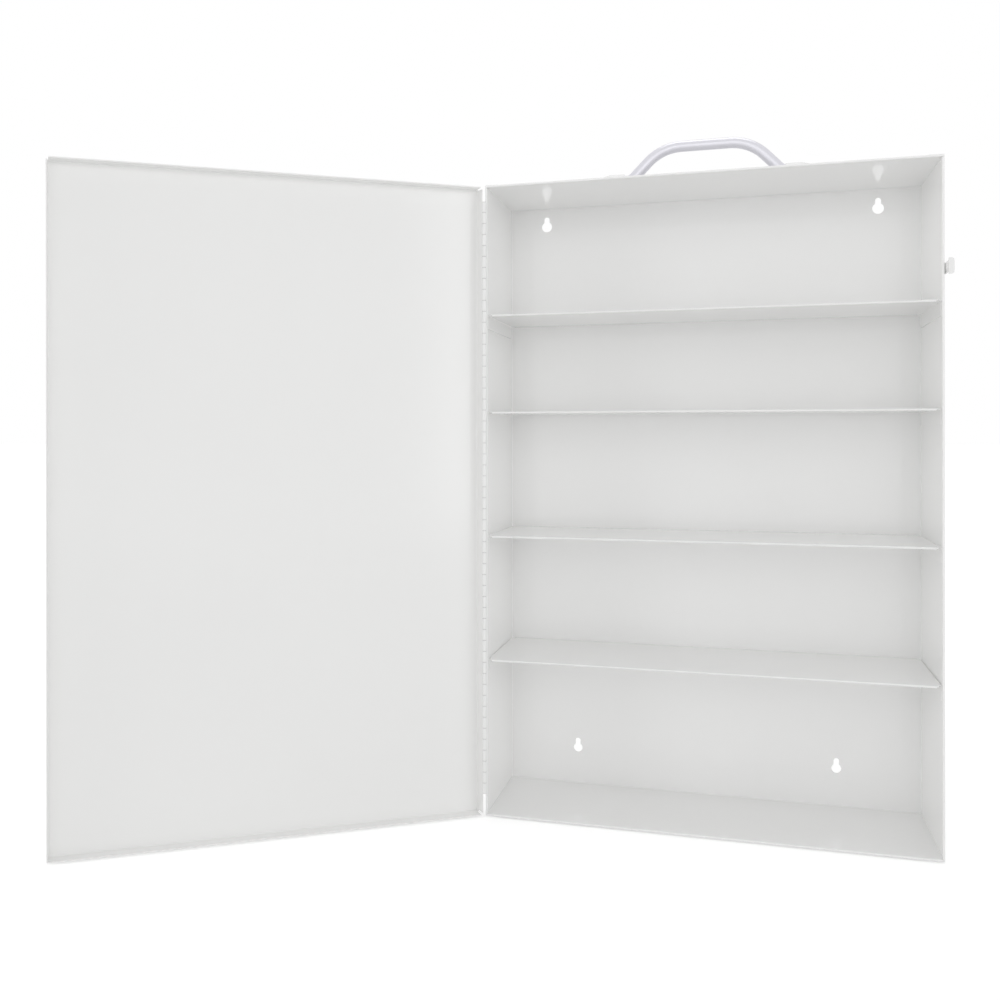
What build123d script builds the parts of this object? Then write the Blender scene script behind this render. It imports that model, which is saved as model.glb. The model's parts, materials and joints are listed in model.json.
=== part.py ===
# First aid cabinet of folded sheet steel, shown with its door standing open.
# Millimetres. X runs to the right, Y from the open front towards the wall, Z up.
# The origin is the middle of the body's underside.
import os
from math import cos, radians, sin

from build123d import *

os.makedirs("parts", exist_ok=True)

# Body: one sheet folded into a tray, its corner tabs lapped over the top and under the floor
body_width = 368.8
body_height = 558.8
body_depth = 117.0
body_sheet = 0.9
bend_radius = 1.0
tab_width = 13.0
tab_setback = 1.6
tab_clip = 3.0
hem_width = 6.0
hem_slit = 0.5
fold_share = 0.85

# Keyholes in the back: a round entry for the screw head and a slot above it for the shank
upper_key_spacing = 297.5
upper_key_entry = 9.8
upper_key_slot = 5.0
upper_key_length = 14.4
upper_key_margin = 7.7
lower_key_spacing = 232.5
lower_key_entry = 8.1
lower_key_slot = 4.4
lower_key_length = 13.2
lower_key_margin = 29.8
lower_key_shift = 2.8

# Shelves, by the height of their top faces above the underside of the body
shelf_heights = (138.8, 248.2, 357.9, 443.8)
shelf_sheet = 0.8
shelf_bend = 0.8
shelf_flange = 12.5
shelf_flange_gap = 5.0
shelf_setback = 1.0
shelf_side_gap = 0.1
shelf_back_gap = 0.3
shelf_hem = 6.0
shelf_nose = 2.4
shelf_nose_clip = 1.6
shelf_relief = 3.0

# Door: a shallow tray with a turned flange all round
door_flange = 12.7
door_gap_below = 0.4
door_gap_above = 1.2
door_notch = 2.0
door_closed_notch = 0.6
door_open_angle = 145.2

# Piano hinge: rolled knuckles on two leaves that lie on the outside of the body and the door
leaf_sheet = 0.9
leaf_width = 10.4
pin_diameter = 1.6
pin_clearance = 0.05
knuckle_pitch = 9.67
knuckle_pairs = 27
knuckle_flat_count = 12
bore_flat_count = 6
knuckle_end_gap = 0.16
knuckle_side_gap = 0.35
barrel_clearance = 0.15
hinge_foot = 19.2

# Carrying handle: a bent rod whose turned-out ends lie in two welded clips on the top
rod_diameter = 9.5
rod_clearance = 0.08
rod_end_chamfer = 0.8
handle_from_front = 42.0
handle_slide = 1.8
handle_rise = 27.2
handle_foot_half = 63.4
handle_bar_half = 37.2
handle_foot_radius = 9.5
handle_bar_radius = 40.0
handle_end = 14.2
clip_sheet = 1.2
clip_shift = 0.4
clip_from_foot = 4.2
clip_length = 24.8
clip_end_taper = 12.0
clip_end_drop = 3.0
clip_mouth_flare = 0.8
flare_angle = 45.0
clip_ear = 11.0
clip_ear_inset = 2.5

# Catch: a spring strip welded to the right side, with a dimple that drops into a seat in the door's flange
catch_from_top = 89.8
catch_sheet = 0.6
catch_strip = 9.0
catch_root_length = 15.0
catch_reach = 12.6
catch_back_length = 28.0
catch_wall_gap = 0.1
catch_joggle = 0.65
catch_joggle_run = 2.0
catch_joggle_lead = 2.5
catch_bend = 0.9
catch_flex_gap = 0.3
catch_tab_height = 12.6
catch_tab_length = 3.7
catch_tab_radius = 2.2
catch_tab_lean = 12.0
catch_dimple = 4.4
catch_dimple_entry = 0.3
catch_dimple_chamfer = 0.5
seat_diameter = 5.2
seat_depth = 0.4
seat_from_edge = 3.8

# How far a cutting shape runs past the face that it cuts
overrun = 2.0

# Places that follow from the sizes above
side = body_width / 2
front = -body_depth / 2
back = body_depth / 2
panel_bottom = body_sheet
panel_top = body_height - body_sheet
panel_height = panel_top - panel_bottom
inner_width = body_width - 2 * body_sheet
floor_top = panel_bottom + body_sheet
ceiling = panel_top - body_sheet
catch_height = panel_top - catch_from_top
outer_bend = bend_radius + body_sheet
back_inside = back - body_sheet

barrel_radius = pin_diameter / 2 + pin_clearance + leaf_sheet
barrel_bore = pin_diameter / 2 + pin_clearance
half_gap = barrel_radius + barrel_clearance
pin_x = -side - leaf_sheet / 2
pin_y = front - half_gap
hinge_length = 2 * knuckle_pairs * knuckle_pitch
hinge_bottom = floor_top + hinge_foot
knuckle_length = knuckle_pitch - knuckle_end_gap

# The door's own frame stands on the hinge pin: X along the closed door, Y towards the body
door_angle = radians(-door_open_angle)
door_frame = Plane(
    origin=(pin_x, pin_y, 0),
    x_dir=(cos(door_angle), sin(door_angle), 0),
    z_dir=(0, 0, 1),
)
door_bottom = panel_bottom + door_gap_below
door_height = panel_height - door_gap_below - door_gap_above
door_near = leaf_sheet / 2
door_far = door_near + body_width
door_edge = -half_gap
door_face = door_edge - door_flange


def door_plane(plane):
    """A plane given in the door's frame, moved to where the open door stands."""
    return Plane(door_frame.location * plane.location)


def door_direction(direction):
    """An axis along a direction given in the door's frame."""
    turned = door_frame.from_local_coords(Vector(*direction)) - door_frame.origin
    return Axis(door_frame.origin, turned)


# Body shell
upper_entry_z = ceiling - upper_key_margin - upper_key_length + upper_key_entry / 2
lower_entry_z = floor_top + lower_key_margin + lower_key_entry / 2
upper_half = upper_key_spacing / 2
lower_half = lower_key_spacing / 2
keyholes = [
    (-upper_half, upper_entry_z, upper_key_entry, upper_key_slot, upper_key_length),
    (upper_half, upper_entry_z, upper_key_entry, upper_key_slot, upper_key_length),
    (-lower_half - lower_key_shift, lower_entry_z, lower_key_entry, lower_key_slot, lower_key_length),
    (lower_half - lower_key_shift, lower_entry_z, lower_key_entry, lower_key_slot, lower_key_length),
]
tab_length = body_depth - 2 * tab_setback - outer_bend

with BuildPart() as body_shell:
    # The folded tray with its bends round the back
    with BuildSketch(Plane.XY.offset(panel_bottom)):
        Rectangle(body_width, body_depth)
    extrude(amount=panel_height)
    fillet(body_shell.faces().sort_by(Axis.Y)[-1].edges(), radius=outer_bend)
    offset(amount=-body_sheet, openings=body_shell.faces().sort_by(Axis.Y)[0])

    # The hem: the front edge folded inwards on all four walls
    with BuildSketch(Plane.XZ.offset(-front)):
        with Locations((0, body_height / 2)):
            Rectangle(inner_width, ceiling - floor_top)
            Rectangle(inner_width - 2 * body_sheet, ceiling - floor_top - 2 * body_sheet, mode=Mode.SUBTRACT)
    extrude(amount=-hem_width)
    fillet(body_shell.faces().sort_by(Axis.Y)[0].edges(), radius=fold_share * body_sheet)

    # Tabs bent from the side walls, welded over the top and under the floor
    for z in (body_height - body_sheet, 0):
        with BuildSketch(Plane.XY.offset(z)):
            with Locations((side - tab_width / 2, tab_setback / 2), (-side + tab_width / 2, tab_setback / 2)):
                Rectangle(tab_width, tab_length)
            chamfer(
                [v for v in vertices() if abs(v.X) < side - tab_width / 2],
                length=tab_clip,
            )
        extrude(amount=body_sheet)

    # The slit where two hems meet in each front corner
    hem_face = inner_width / 2 - body_sheet
    with BuildSketch(Plane.XZ.offset(-front + overrun)):
        for z in (ceiling - body_sheet - hem_slit / 2, floor_top + body_sheet + hem_slit / 2):
            with Locations((hem_face + body_sheet / 2, z), (-hem_face - body_sheet / 2, z)):
                Rectangle(body_sheet, hem_slit)
    extrude(amount=-(hem_width + overrun), mode=Mode.SUBTRACT)

    # Keyholes through the back
    with BuildSketch(Plane.XZ.offset(-back - overrun)):
        for x, entry_z, entry, slot, length in keyholes:
            slot_z = entry_z - entry / 2 + length - slot / 2
            with Locations((x, entry_z)):
                Circle(entry / 2)
            with Locations((x, slot_z)):
                Circle(slot / 2)
            with Locations((x, (entry_z + slot_z) / 2)):
                Rectangle(slot, slot_z - entry_z)
    extrude(amount=body_sheet + 2 * overrun, mode=Mode.SUBTRACT)

body_shell.part.label = "body_shell"
export_step(body_shell.part, "parts/body_shell.step")

# Shelves: each a plate with its ends turned down and its front edge folded under
shelf_half = inner_width / 2 - shelf_side_gap
shelf_front = front + shelf_setback
shelf_rear = back_inside - shelf_back_gap
nose_half = shelf_half - body_sheet - shelf_nose
nose_depth = hem_width + shelf_setback
flange_front = front + hem_width + shelf_setback
flange_rear = shelf_rear - shelf_flange_gap
shelf_middle_y = (shelf_front + shelf_rear) / 2
line_drop = shelf_sheet / 2

for number, top in enumerate(reversed(shelf_heights), start=1):
    with BuildPart() as shelf:
        # The plate, cut back at its front corners for the hem and at its rear corners for the bend
        with BuildSketch(Plane.XY.offset(top - shelf_sheet)):
            with Locations((0, shelf_middle_y)):
                Rectangle(2 * shelf_half - 2 * shelf_bend, shelf_rear - shelf_front)
            for turn in (-1, 1):
                with Locations((turn * (nose_half + shelf_half) / 2, shelf_front + nose_depth / 2)):
                    Rectangle(shelf_half - nose_half, nose_depth, mode=Mode.SUBTRACT)
                with Locations((turn * (shelf_half - shelf_relief / 2), shelf_rear - shelf_relief / 2)):
                    Rectangle(shelf_relief, shelf_relief, mode=Mode.SUBTRACT)
            chamfer(vertices().group_by(Axis.Y)[0], length=shelf_nose_clip)
        extrude(amount=shelf_sheet)

        # The ends turned down against the side walls
        for turn in (-1, 1):
            with BuildSketch(Plane.XZ.offset(-flange_rear)):
                with BuildLine():
                    FilletPolyline(
                        (turn * (shelf_half - shelf_relief), top - line_drop),
                        (turn * (shelf_half - line_drop), top - line_drop),
                        (turn * (shelf_half - line_drop), top - shelf_flange),
                        radius=shelf_bend + line_drop,
                    )
                trace(line_width=shelf_sheet)
            extrude(amount=flange_rear - flange_front)

        # The front edge folded under
        with BuildSketch(Plane.XY.offset(top - 2 * shelf_sheet)):
            with Locations((0, shelf_front + shelf_hem / 2)):
                Rectangle(2 * (nose_half - shelf_nose_clip), shelf_hem)
        extrude(amount=shelf_sheet)
        fold = shelf.faces().sort_by(Axis.Y)[0].edges().filter_by(Axis.X)
        fillet(fold, radius=fold_share * shelf_sheet)

    shelf.part.label = f"shelf_{number}"
    export_step(shelf.part, f"parts/shelf_{number}.step")

# Door panel: a tray whose open side faces the body when the door is shut
with BuildPart() as door_panel:
    with BuildSketch(door_plane(Plane.XY.offset(door_bottom))):
        with Locations(((door_near + door_far) / 2, (door_edge + door_face) / 2)):
            Rectangle(body_width, door_flange)
    extrude(amount=door_height)
    across = door_direction((0, 1, 0))
    fillet(door_panel.faces().sort_by(across)[0].edges(), radius=outer_bend)
    offset(amount=-body_sheet, openings=door_panel.faces().sort_by(across)[-1])

    # The corners are notched so that the four flanges can be turned up
    with BuildSketch(door_plane(Plane.XZ.offset(-door_edge - overrun))):
        with Locations(
            (door_near, door_bottom),
            (door_near, door_bottom + door_height),
            (door_far, door_bottom + door_height),
        ):
            Rectangle(2 * door_notch, 2 * door_notch)
        with Locations((door_far, door_bottom)):
            Rectangle(2 * door_closed_notch, 2 * door_closed_notch)
    extrude(amount=door_flange - outer_bend + overrun, mode=Mode.SUBTRACT)

    # The shallow seat for the catch, in the flange of the free edge
    with BuildSketch(door_plane(Plane.YZ.offset(door_far - seat_depth))):
        with Locations((door_edge - seat_from_edge, catch_height)):
            Circle(seat_diameter / 2)
    extrude(amount=seat_depth + overrun, mode=Mode.SUBTRACT)

door_panel.part.label = "door_panel"
export_step(door_panel.part, "parts/door_panel.step")


# Piano hinge
def knuckle_outline(plane, reach):
    """A knuckle rolled round the pin in small flats, and its neck, which runs along Y to the leaf."""
    with BuildSketch(plane) as outline:
        RegularPolygon(barrel_radius, knuckle_flat_count)
        with Locations((0, reach / 2)):
            Rectangle(leaf_sheet, abs(reach))
        RegularPolygon(barrel_bore, bore_flat_count, major_radius=False, mode=Mode.SUBTRACT)
    return outline.sketch


leaf_start = barrel_radius + knuckle_side_gap
leaf_end = half_gap + leaf_width
leaf_middle = (leaf_start + leaf_end) / 2
pin_plane = Plane(origin=(pin_x, pin_y, 0), x_dir=(1, 0, 0), z_dir=(0, 0, 1))

with BuildPart() as hinge_body_leaf:
    with BuildSketch(pin_plane.offset(hinge_bottom)):
        with Locations((0, leaf_middle)):
            Rectangle(leaf_sheet, leaf_end - leaf_start)
    extrude(amount=hinge_length)
    for pair in range(knuckle_pairs):
        height = hinge_bottom + 2 * pair * knuckle_pitch
        add(knuckle_outline(pin_plane.offset(height), leaf_start))
    extrude(amount=knuckle_length)

hinge_body_leaf.part.label = "hinge_body_leaf"
export_step(hinge_body_leaf.part, "parts/hinge_body_leaf.step")

with BuildPart() as hinge_door_leaf:
    with BuildSketch(door_plane(Plane.XY.offset(hinge_bottom))):
        with Locations((0, -leaf_middle)):
            Rectangle(leaf_sheet, leaf_end - leaf_start)
    extrude(amount=hinge_length)
    for pair in range(knuckle_pairs):
        height = hinge_bottom + (2 * pair + 1) * knuckle_pitch
        add(knuckle_outline(door_plane(Plane.XY.offset(height)), -leaf_start))
    extrude(amount=knuckle_length)

hinge_door_leaf.part.label = "hinge_door_leaf"
export_step(hinge_door_leaf.part, "parts/hinge_door_leaf.step")

with BuildPart() as hinge_pin:
    with BuildSketch(pin_plane.offset(hinge_bottom)):
        Circle(pin_diameter / 2)
    extrude(amount=hinge_length - knuckle_end_gap)

hinge_pin.part.label = "hinge_pin"
export_step(hinge_pin.part, "parts/hinge_pin.step")

# Carrying handle, which has slid a little to the right in its clips
handle_shift = clip_shift + handle_slide
handle_end_half = handle_foot_half + handle_end
handle_y = front + handle_from_front
rod_radius = rod_diameter / 2
rod_z = panel_top + rod_clearance + rod_radius

with BuildPart() as handle_bail:
    with BuildLine(Plane((handle_shift, handle_y, rod_z), x_dir=(1, 0, 0), z_dir=(0, -1, 0))) as rod_line:
        FilletPolyline(
            (-handle_end_half, 0),
            (-handle_foot_half, 0),
            (-handle_bar_half, handle_rise),
            (handle_bar_half, handle_rise),
            (handle_foot_half, 0),
            (handle_end_half, 0),
            radius=[handle_foot_radius, handle_bar_radius, handle_bar_radius, handle_foot_radius],
        )
    with BuildSketch(Plane.YZ.offset(handle_shift - handle_end_half)):
        with Locations((handle_y, rod_z)):
            Circle(rod_radius)
    sweep(path=rod_line.line)
    rod_ends = handle_bail.edges().filter_by(GeomType.CIRCLE).group_by(Axis.X)
    chamfer(rod_ends[0] + rod_ends[-1], length=rod_end_chamfer)

handle_bail.part.label = "handle_bail"
export_step(handle_bail.part, "parts/handle_bail.step")

clip_start = handle_foot_half + clip_from_foot
clip_bore = rod_radius + rod_clearance
clip_outer = clip_bore + clip_sheet

for name, turn in (("left", -1), ("right", 1)):
    mouth = (clip_shift + turn * clip_start, handle_y, panel_top)
    start_plane = Plane(origin=mouth, x_dir=(0, turn, 0), z_dir=(turn, 0, 0))
    ear_plane = Plane(origin=mouth, x_dir=(turn, 0, 0), z_dir=(0, 0, 1))
    outward = Axis((0, 0, 0), (turn, 0, 0))

    # The space for the rod, flared at the clip's mouth and tapered at its closed end
    with BuildPart() as rod_space:
        with BuildSketch(start_plane):
            with Locations((0, clip_bore)):
                Circle(clip_bore)
            with Locations((0, (clip_bore - overrun) / 2)):
                Rectangle(2 * clip_bore, clip_bore + overrun)
        extrude(amount=clip_length - clip_sheet)
        end_face = rod_space.faces().sort_by(outward)[-1]
        end_arc = end_face.edges().filter_by(GeomType.CIRCLE)
        chamfer(end_arc, length=clip_end_drop, length2=clip_end_taper, reference=end_face)
        with BuildSketch(start_plane):
            with Locations((0, clip_bore)):
                Circle(clip_bore + clip_mouth_flare)
            with Locations((0, (clip_bore - overrun) / 2)):
                Rectangle(2 * (clip_bore + clip_mouth_flare), clip_bore + overrun)
        extrude(amount=clip_mouth_flare, taper=flare_angle)

    with BuildPart() as handle_clip:
        # The hump over the rod, tapered at its closed end
        with BuildSketch(start_plane):
            with Locations((0, clip_bore)):
                Circle(clip_outer)
            with Locations((0, clip_bore / 2)):
                Rectangle(2 * clip_outer, clip_bore)
            with Locations((0, -clip_outer / 2)):
                Rectangle(2 * clip_outer, clip_outer, mode=Mode.SUBTRACT)
        extrude(amount=clip_length)
        end_face = handle_clip.faces().sort_by(outward)[-1]
        end_arc = end_face.edges().filter_by(GeomType.CIRCLE)
        chamfer(end_arc, length=clip_end_drop, length2=clip_end_taper, reference=end_face)

        # The ears that are welded down in front and behind
        with BuildSketch(ear_plane):
            with Locations((clip_length / 2, 0)):
                RectangleRounded(
                    clip_length - 2 * clip_ear_inset,
                    2 * (clip_outer + clip_ear),
                    clip_ear_inset,
                )
        extrude(amount=clip_sheet)
        add(rod_space.part, mode=Mode.SUBTRACT)

    handle_clip.part.label = f"handle_clip_{name}"
    export_step(handle_clip.part, f"parts/handle_clip_{name}.step")

# Catch
catch_low = catch_height - catch_strip / 2
catch_flex_y = front + catch_back_length
catch_root_middle = catch_flex_y + catch_flex_gap + catch_root_length / 2
strip_x = side + catch_wall_gap + catch_sheet / 2
joggle_end = front + catch_joggle_lead
joggle_start = joggle_end + catch_joggle_run
tip_y = front - catch_reach
lean = radians(catch_tab_lean)
tab_x = strip_x + catch_joggle + catch_tab_length
bend_start = tip_y + catch_bend + catch_sheet / 2
inner_face = strip_x + catch_joggle - catch_sheet / 2
dimple_y = front - 2 * half_gap - seat_from_edge
dimple_tip = side - catch_dimple_entry

with BuildPart() as catch_root:
    with BuildSketch(Plane.YZ.offset(side)):
        with Locations((catch_root_middle, catch_height)):
            Rectangle(catch_root_length, catch_strip)
        fillet(vertices().group_by(Axis.X)[-1], radius=catch_strip / 4)
    extrude(amount=catch_sheet)

catch_root.part.label = "catch_root"
export_step(catch_root.part, "parts/catch_root.step")

with BuildPart() as catch_tongue:
    # The strip: flat on the wall, a small step outwards and on past the front edge
    with BuildSketch(Plane.XY.offset(catch_low)):
        with BuildLine():
            FilletPolyline(
                (strip_x, catch_flex_y),
                (strip_x, joggle_start),
                (strip_x + catch_joggle, joggle_end),
                (strip_x + catch_joggle, bend_start),
                radius=catch_bend,
            )
        trace(line_width=catch_sheet)
    extrude(amount=catch_strip)

    # The wider finger tab, bent outwards, with its corners rounded
    with BuildSketch(Plane.XY.offset(catch_height - catch_tab_height / 2)):
        with BuildLine():
            FilletPolyline(
                (strip_x + catch_joggle, bend_start),
                (strip_x + catch_joggle, tip_y),
                (tab_x, tip_y - catch_tab_length * sin(lean)),
                radius=catch_bend,
            )
        trace(line_width=catch_sheet)
    extrude(amount=catch_tab_height)
    tab_end = catch_tongue.faces().sort_by(Axis.X)[-1]
    tab_corners = tab_end.edges().group_by(Axis.Z)
    fillet(tab_corners[0] + tab_corners[-1], radius=catch_tab_radius)

    # The dimple, pressed inwards from the outer side
    with BuildSketch(Plane.YZ.offset(dimple_tip)):
        with Locations((dimple_y, catch_height)):
            Circle(catch_dimple / 2)
    extrude(amount=inner_face - dimple_tip)
    dimple_rim = catch_tongue.edges().filter_by(GeomType.CIRCLE).sort_by(Axis.X)[0]
    chamfer(dimple_rim, length=catch_dimple_chamfer)
    with BuildSketch(Plane.YZ.offset(dimple_tip + catch_sheet)):
        with Locations((dimple_y, catch_height)):
            Circle(catch_dimple / 2 - catch_sheet)
    extrude(amount=inner_face - dimple_tip + overrun, mode=Mode.SUBTRACT)

catch_tongue.part.label = "catch_tongue"
export_step(catch_tongue.part, "parts/catch_tongue.step")
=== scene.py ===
import json
import math

import bpy
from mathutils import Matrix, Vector

# An empty first aid cabinet of white enamelled sheet steel, with its door open, on a white ground.
# Metres. All shapes are the frame's own: this script gives them their finish and sets up the studio.
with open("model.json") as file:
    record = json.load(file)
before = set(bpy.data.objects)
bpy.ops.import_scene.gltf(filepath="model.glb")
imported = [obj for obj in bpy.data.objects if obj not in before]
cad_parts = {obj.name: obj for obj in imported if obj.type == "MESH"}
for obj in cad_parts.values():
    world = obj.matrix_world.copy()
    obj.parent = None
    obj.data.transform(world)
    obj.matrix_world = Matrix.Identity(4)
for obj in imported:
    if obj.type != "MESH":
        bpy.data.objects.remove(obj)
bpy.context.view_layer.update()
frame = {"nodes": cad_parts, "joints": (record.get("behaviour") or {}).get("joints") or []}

# Colours
WHITE = (0.955, 0.955, 0.951)
DOOR_WHITE = (0.95, 0.95, 0.942)
PALE = (0.93, 0.93, 0.925)
LILAC = (0.74, 0.735, 0.785)
WIRE_GREY = (0.55, 0.55, 0.56)
# Painted shade: the grey mixed into the hinge's colour at the seams between its knuckles
PAINTED_SEAM_SHADE_GREY = (0.25, 0.25, 0.25)
PAPER = (0.9, 0.9, 0.9)
PURE_WHITE = (1.0, 1.0, 1.0)

# Enamel: the scale of each pattern per metre, the part of its noise that counts,
# and how far it changes the colour, the gloss or the height in metres
ENAMEL_IOR = 1.5
MOTTLE_SCALE = 5.0
MOTTLE_LOW = 0.25
MOTTLE_HIGH = 0.75
MOTTLE_SHADE = 0.985
GLOSS_SCALE = 6.0
GLOSS_LOW = 0.2
GLOSS_HIGH = 0.8
GLOSS_SPREAD = 0.06
PEEL_SCALE = 520.0
PEEL_STRENGTH = 0.12
PEEL_HEIGHT = 0.00003
WAVE_SCALE = 7.0
WAVE_STRENGTH = 0.25
WAVE_HEIGHT = 0.0008

# Drawn wire: fine lines along Z, and smears in its gloss
DRAWN_SCALE = 900.0
DRAWN_STRETCH = (1.0, 1.0, 0.08)
DRAWN_LOW = 0.35
DRAWN_HIGH = 0.65
DRAWN_SHADE = 0.95
DRAWN_STRENGTH = 0.2
DRAWN_HEIGHT = 0.00005
WIRE_GLOSS_SCALE = 120.0
WIRE_GLOSS_LOW = 0.3
WIRE_GLOSS_HIGH = 0.7
WIRE_GLOSSIEST = 0.8
WIRE_DULLEST = 1.3

# Piano hinge: its count of knuckles and the gap between two of them, how far from a gap the painted
# shade at each seam reaches and how dark it is, and how far from the pin the barrel goes
KNUCKLES = 54
KNUCKLE_GAP = 0.00016
PAINTED_SHADE_REACH = 0.00045
PAINTED_SHADE_DEPTH = 0.35
BARREL_RADIUS = 0.0022
BARREL_FADE_RADIUS = 0.0024

# Ground: a wide sheet just under the cabinet's feet, whose own white grows away from the cabinet
GROUND_HALF = 40.0
GROUND_DROP = 0.0004
GROUND_ROUGHNESS = 0.9
GLOW_NEAR = 0.36
GLOW_FAR = 0.5
GLOW_NEAR_DISTANCE = 0.4
GLOW_FAR_DISTANCE = 2.5

# World: how strongly it lights the cabinet, and how white it is where it is seen
SKY_LIGHT = 0.57
SKY_SEEN = 1.0

# Lamps, all turned to one target: name, place, side of the square, watts
LAMP_TARGET = (0, 0, 0.28)
LAMPS = (
    ("left", (-2.9, -1.6, 0.6), 2.0, 26),
    ("front", (0.1, -3.2, 0.5), 2.4, 9),
    ("right_front", (1.9, -2.7, 0.7), 2.4, 7.5),
    ("right", (3.1, -1.3, 0.6), 2.0, 15),
    ("top", (0.0, 0.2, 2.6), 1.5, 8),
)

# Bounces that carry the light deep into the shelves, from white wall to white wall
LIGHT_BOUNCES = 16

# Camera
SENSOR_WIDTH = 36.0
FOCAL_IN_WIDTHS = 1.11241
CAMERA_SHIFT_X = 0.10634
CAMERA_SHIFT_Y = -0.06386
CAMERA_PLACE = (0.030994, -1.021514, 0.33644)
CAMERA_ROLL = 0.001
CAMERA_YAW = 0.3022
CLIP_START = 0.01
CLIP_END = 200


# Node helpers

def math_node(tree, operation, value, other):
    """A Math node on a node's output and either a number or a second output."""
    node = tree.nodes.new("ShaderNodeMath")
    node.operation = operation
    tree.links.new(value, node.inputs[0])
    if isinstance(other, float):
        node.inputs[1].default_value = other
    else:
        tree.links.new(other, node.inputs[1])
    return node.outputs[0]


def object_coordinates(tree):
    """The surface point in the object's own metres."""
    return tree.nodes.new("ShaderNodeTexCoord").outputs["Object"]


def noise(tree, scale, detail, rough=0.5, stretch=(1, 1, 1)):
    """A noise texture in the object's own metres."""
    place = tree.nodes.new("ShaderNodeMapping")
    place.inputs["Scale"].default_value = stretch
    tex = tree.nodes.new("ShaderNodeTexNoise")
    tex.inputs["Scale"].default_value = scale
    tex.inputs["Detail"].default_value = detail
    tex.inputs["Roughness"].default_value = rough
    tree.links.new(object_coordinates(tree), place.inputs["Vector"])
    tree.links.new(place.outputs["Vector"], tex.inputs["Vector"])
    return tex.outputs["Fac"]


def ramp(tree, value, low, high, out_low, out_high):
    """Maps a value from low..high to out_low..out_high."""
    node = tree.nodes.new("ShaderNodeMapRange")
    node.inputs["From Min"].default_value = low
    node.inputs["From Max"].default_value = high
    node.inputs["To Min"].default_value = out_low
    node.inputs["To Max"].default_value = out_high
    tree.links.new(value, node.inputs["Value"])
    return node.outputs["Result"]


def mix_color(tree, factor, first, second):
    """Blends two colours, each given as a tuple or as a node's output."""
    node = tree.nodes.new("ShaderNodeMix")
    node.data_type = "RGBA"
    tree.links.new(factor, node.inputs["Factor"])
    for socket, color in (("A", first), ("B", second)):
        if isinstance(color, tuple):
            node.inputs[socket].default_value = (*color, 1)
        else:
            tree.links.new(color, node.inputs[socket])
    return node.outputs["Result"]


def shade(color, factor):
    """A colour made darker by a factor."""
    return tuple(c * factor for c in color)


def bump(tree, height, strength, distance, before=None):
    """A bump from a height, on top of another bump where one is given."""
    node = tree.nodes.new("ShaderNodeBump")
    node.inputs["Strength"].default_value = strength
    node.inputs["Distance"].default_value = distance
    tree.links.new(height, node.inputs["Height"])
    if before is not None:
        tree.links.new(before, node.inputs["Normal"])
    return node.outputs["Normal"]


def seen(tree):
    """1 for the camera's own rays and for those that glossy and clear surfaces send on, else 0."""
    path = tree.nodes.new("ShaderNodeLightPath")
    value = path.outputs["Is Camera Ray"]
    for kind in ("Is Glossy Ray", "Is Transmission Ray"):
        value = math_node(tree, "MAXIMUM", value, path.outputs[kind])
    return value


# Finishes

def material(name, color, roughness, metallic=0.0):
    """A Principled material with its constants on the shader, and its node tree and shader."""
    mat = bpy.data.materials.new(name)
    mat.use_nodes = True
    tree = mat.node_tree
    shader = tree.nodes["Principled BSDF"]
    shader.inputs["Base Color"].default_value = (*color, 1)
    shader.inputs["Roughness"].default_value = roughness
    shader.inputs["Metallic"].default_value = metallic
    return mat, tree, shader


def enamel(name, color, roughness, waviness=1.0, metallic=0.0):
    """A baked finish on sheet: slight mottling, fine orange peel and faint waves of the sheet."""
    mat, tree, shader = material(name, color, roughness, metallic)
    shader.inputs["IOR"].default_value = ENAMEL_IOR

    blotches = noise(tree, MOTTLE_SCALE, detail=2.0, rough=0.4)
    tint = ramp(tree, blotches, MOTTLE_LOW, MOTTLE_HIGH, 0.0, 1.0)
    paint = mix_color(tree, tint, shade(color, MOTTLE_SHADE), color)
    tree.links.new(paint, shader.inputs["Base Color"])

    glossiest = roughness * (1 - GLOSS_SPREAD)
    dullest = roughness * (1 + GLOSS_SPREAD)
    smears = noise(tree, GLOSS_SCALE, detail=2.0)
    gloss = ramp(tree, smears, GLOSS_LOW, GLOSS_HIGH, glossiest, dullest)
    tree.links.new(gloss, shader.inputs["Roughness"])

    peel = bump(tree, noise(tree, PEEL_SCALE, detail=1.0), PEEL_STRENGTH, PEEL_HEIGHT)
    swell = noise(tree, WAVE_SCALE, detail=0.0)
    waves = bump(tree, swell, WAVE_STRENGTH * waviness, WAVE_HEIGHT, before=peel)
    tree.links.new(waves, shader.inputs["Normal"])
    return mat


def drawn_wire(name, color, roughness):
    """Bright wire with faint drawing marks along Z."""
    mat, tree, shader = material(name, color, roughness, metallic=1.0)
    lines = noise(tree, DRAWN_SCALE, detail=3.0, rough=0.6, stretch=DRAWN_STRETCH)
    marks = ramp(tree, lines, DRAWN_LOW, DRAWN_HIGH, 0.0, 1.0)
    steel = mix_color(tree, marks, shade(color, DRAWN_SHADE), color)
    tree.links.new(steel, shader.inputs["Base Color"])

    smears = noise(tree, WIRE_GLOSS_SCALE, detail=4.0)
    glossiest = roughness * WIRE_GLOSSIEST
    dullest = roughness * WIRE_DULLEST
    gloss = ramp(tree, smears, WIRE_GLOSS_LOW, WIRE_GLOSS_HIGH, glossiest, dullest)
    tree.links.new(gloss, shader.inputs["Roughness"])

    tree.links.new(bump(tree, lines, DRAWN_STRENGTH, DRAWN_HEIGHT), shader.inputs["Normal"])
    return mat


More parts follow.
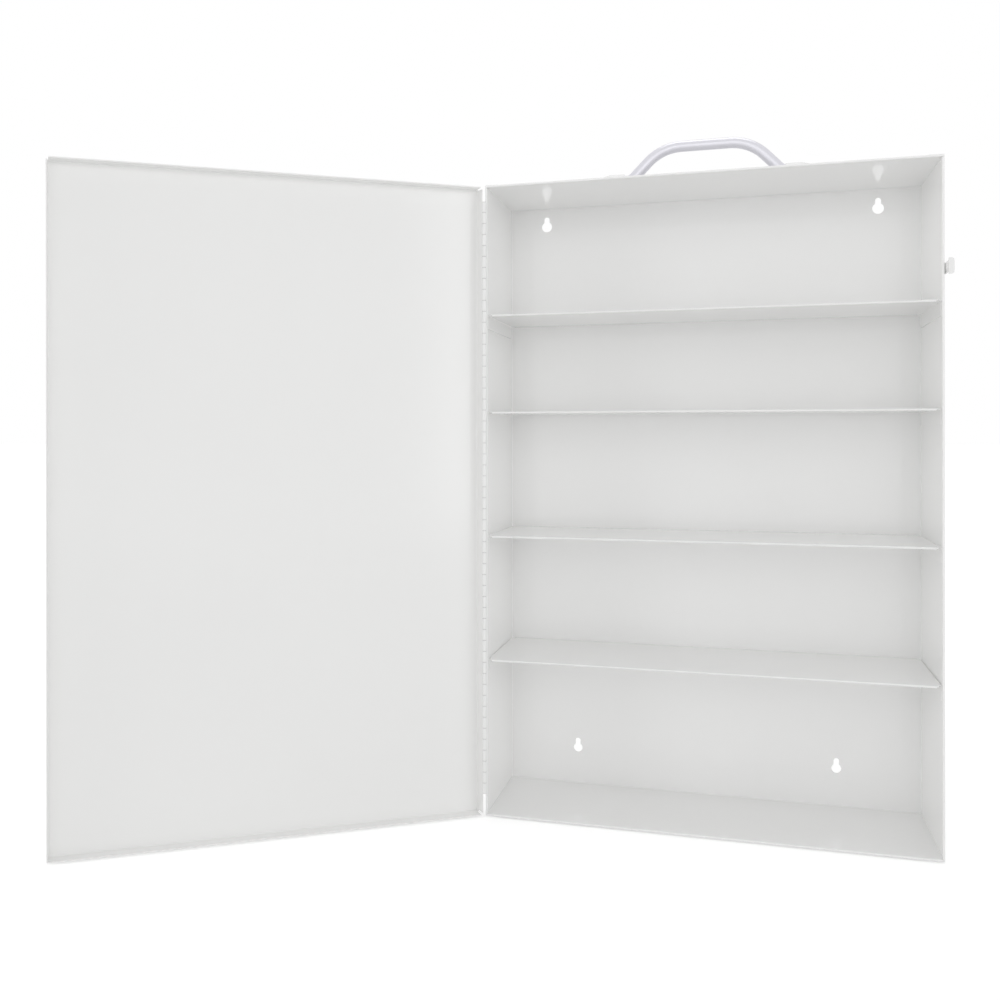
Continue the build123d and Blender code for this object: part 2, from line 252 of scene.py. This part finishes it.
def paint_knuckle_seam_shade(mat):
    """Paints shade into the colour at the rounded ends of the hinge's knuckles, where each meets the next
    one on the pin.
    """
    hinge = next(joint for joint in frame["joints"] if joint["name"] == "door_hinge")
    pin_x, pin_y, _ = hinge["pos_m"]
    heights = [vertex.co.z for vertex in frame["nodes"]["hinge_body_leaf"].data.vertices]
    pitch = (max(heights) - min(heights)) / KNUCKLES
    first = min(heights) - KNUCKLE_GAP / 2

    tree = mat.node_tree
    shader = tree.nodes["Principled BSDF"]
    axes = tree.nodes.new("ShaderNodeSeparateXYZ")
    tree.links.new(object_coordinates(tree), axes.inputs[0])

    # How far a point is from the nearest seam along the pin, in knuckles
    turn = math_node(tree, "DIVIDE", math_node(tree, "SUBTRACT", axes.outputs["Z"], first), pitch)
    away = math_node(tree, "PINGPONG", turn, 0.5)
    # The painted shade is darkest at a seam and fades over its reach
    painted_seam_shade = ramp(tree, away, 0.0, PAINTED_SHADE_REACH / pitch, PAINTED_SHADE_DEPTH, 0.0)

    # Only the barrel gets the painted shade, by the square of the distance from the pin's line
    squares = []
    for axis, middle in (("X", pin_x), ("Y", pin_y)):
        offset = math_node(tree, "SUBTRACT", axes.outputs[axis], middle)
        squares.append(math_node(tree, "POWER", math_node(tree, "ABSOLUTE", offset, 0.0), 2.0))
    distance = math_node(tree, "ADD", *squares)
    on_barrel = ramp(tree, distance, BARREL_RADIUS ** 2, BARREL_FADE_RADIUS ** 2, 1.0, 0.0)

    # The painted shade, on the barrel only, mixed into the enamel's colour as grey
    painted_shade = math_node(tree, "MULTIPLY", painted_seam_shade, on_barrel)
    paint = shader.inputs["Base Color"].links[0].from_socket
    tree.links.new(mix_color(tree, painted_shade, paint, PAINTED_SEAM_SHADE_GREY), shader.inputs["Base Color"])


white = enamel("white_enamel", WHITE, roughness=0.06)
shelf_white = enamel("shelf_enamel", WHITE, roughness=0.09)
door_white = enamel("door_enamel", DOOR_WHITE, roughness=0.14)
hinge_white_with_painted_shade = enamel("hinge_enamel_painted_seam_shade", WHITE, roughness=0.2, waviness=0.0)
clip_white = enamel("clip_enamel", PALE, roughness=0.2, waviness=0.0)
catch_white = enamel("catch_enamel", PALE, roughness=0.25, waviness=0.0)
rod = enamel("rod_plating", LILAC, roughness=0.3, waviness=0.0, metallic=0.5)
pin = drawn_wire("pin_wire", WIRE_GREY, roughness=0.3)
# Painted shade at the seams between the hinge's knuckles
paint_knuckle_seam_shade(hinge_white_with_painted_shade)

LOOKS = {
    "body_shell": white,
    "shelf_1": shelf_white,
    "shelf_2": shelf_white,
    "shelf_3": shelf_white,
    "shelf_4": shelf_white,
    "door_panel": door_white,
    "hinge_body_leaf": hinge_white_with_painted_shade,
    "hinge_door_leaf": hinge_white_with_painted_shade,
    "hinge_pin": pin,
    "handle_bail": rod,
    "handle_clip_left": clip_white,
    "handle_clip_right": clip_white,
    "catch_root": catch_white,
    "catch_tongue": catch_white,
}
for name, mat in LOOKS.items():
    for slot in frame["nodes"][name].material_slots:
        slot.material = mat


# Ground, world and lamps

def add_glow(tree, lit):
    """Adds white for the camera and for mirror-like rays only, less of it near the cabinet's shadow."""
    away = tree.nodes.new("ShaderNodeVectorMath")
    away.operation = "LENGTH"
    tree.links.new(object_coordinates(tree), away.inputs[0])
    strength = ramp(tree, away.outputs["Value"], GLOW_NEAR_DISTANCE, GLOW_FAR_DISTANCE, GLOW_NEAR, GLOW_FAR)
    glow = tree.nodes.new("ShaderNodeEmission")
    glow.inputs["Color"].default_value = (*PURE_WHITE, 1)
    tree.links.new(math_node(tree, "MULTIPLY", seen(tree), strength), glow.inputs["Strength"])
    add = tree.nodes.new("ShaderNodeAddShader")
    tree.links.new(lit, add.inputs[0])
    tree.links.new(glow.outputs[0], add.inputs[1])
    return add.outputs[0]


def ground():
    """The white sheet that the cabinet stands on."""
    mesh = bpy.data.meshes.new("floor")
    half = GROUND_HALF
    corners = [(-half, -half, 0), (half, -half, 0), (half, half, 0), (-half, half, 0)]
    mesh.from_pydata(corners, [], [(0, 1, 2, 3)])
    sheet = bpy.data.objects.new("floor", mesh)
    bpy.context.scene.collection.objects.link(sheet)
    sheet.location.z = -GROUND_DROP
    mat, tree, shader = material("floor_paper", PAPER, GROUND_ROUGHNESS)
    tree.links.new(add_glow(tree, shader.outputs[0]), tree.nodes["Material Output"].inputs["Surface"])
    mesh.materials.append(mat)
    return sheet


def background(tree, strength):
    """A white background of a given strength."""
    node = tree.nodes.new("ShaderNodeBackground")
    node.inputs["Color"].default_value = (*PURE_WHITE, 1)
    node.inputs["Strength"].default_value = strength
    return node.outputs[0]


def sky():
    """A soft white light from all sides, pure white where it is seen."""
    world = bpy.data.worlds.new("studio")
    world.use_nodes = True
    tree = world.node_tree
    tree.nodes.clear()
    choose = tree.nodes.new("ShaderNodeMixShader")
    tree.links.new(seen(tree), choose.inputs["Fac"])
    tree.links.new(background(tree, SKY_LIGHT), choose.inputs[1])
    tree.links.new(background(tree, SKY_SEEN), choose.inputs[2])
    out = tree.nodes.new("ShaderNodeOutputWorld")
    tree.links.new(choose.outputs[0], out.inputs["Surface"])
    return world


def lamp(name, place, size, power):
    """A soft square lamp, turned to the middle of the cabinet."""
    data = bpy.data.lights.new(name, "AREA")
    data.shape = "SQUARE"
    data.size = size
    data.energy = power
    data.color = PURE_WHITE
    light = bpy.data.objects.new(name, data)
    light.location = place
    light.rotation_euler = (Vector(LAMP_TARGET) - Vector(place)).to_track_quat("-Z", "Y").to_euler()
    bpy.context.scene.collection.objects.link(light)


floor = ground()
bpy.context.scene.world = sky()
for name, place, size, power in LAMPS:
    lamp(name, place, size, power)


# Camera and view

def photo_camera():
    """A camera where the photograph was taken from, level apart from a slight roll."""
    data = bpy.data.cameras.new("photo_camera")
    data.sensor_fit = "HORIZONTAL"
    data.sensor_width = SENSOR_WIDTH
    data.lens = SENSOR_WIDTH * FOCAL_IN_WIDTHS
    data.shift_x = CAMERA_SHIFT_X
    data.shift_y = CAMERA_SHIFT_Y
    data.clip_start = CLIP_START
    data.clip_end = CLIP_END
    camera = bpy.data.objects.new("photo_camera", data)
    camera.location = CAMERA_PLACE
    camera.rotation_euler = (math.pi / 2, CAMERA_ROLL, CAMERA_YAW)
    bpy.context.scene.collection.objects.link(camera)
    return camera


scene = bpy.context.scene
scene.camera = photo_camera()
scene.view_settings.view_transform = "Standard"
scene.cycles.max_bounces = LIGHT_BOUNCES
scene.cycles.diffuse_bounces = LIGHT_BOUNCES
